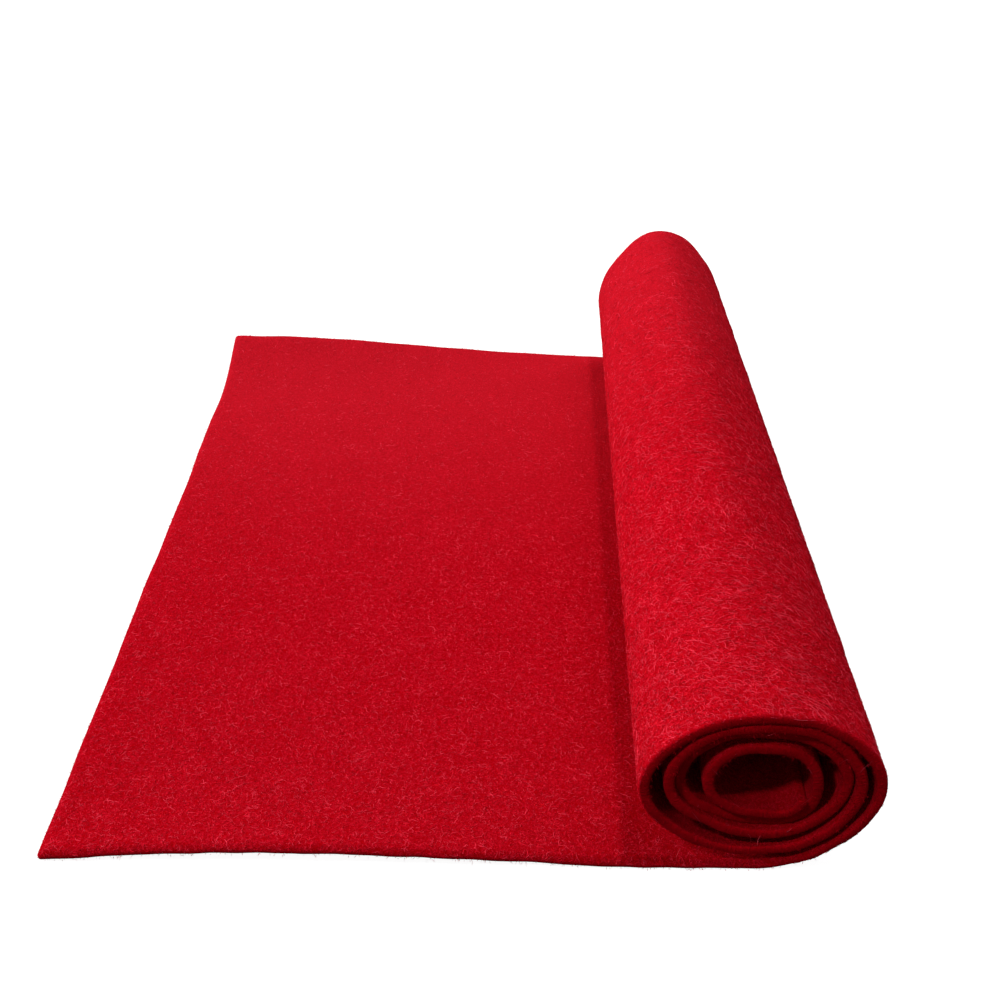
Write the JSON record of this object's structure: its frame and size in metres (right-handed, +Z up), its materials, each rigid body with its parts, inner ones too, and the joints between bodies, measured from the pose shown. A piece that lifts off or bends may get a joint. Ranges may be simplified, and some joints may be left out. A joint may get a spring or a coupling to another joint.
{
  "type": "roll of felt",
  "caption": "Partly unrolled roll of thick needle felt: a flat stretch of the sheet lying on the table, the rest wound loosely round an open core.",
  "frame": {"origin": "middle of the underside, on the surface that the felt lies on", "axes": "+Z up, Y along the roll with the open end that shows at the lowest Y, the roll at +X and the flat stretch towards -X"},
  "size_m": [0.2154, 0.3006, 0.0608],
  "materials": {
    "red_felt": "matt, fibrous needle-punched felt with fine lighter fibres on its face"
  },
  "bodies": {
    "root": {"felt_sheet": "red_felt"}
  },
  "joints": []
}
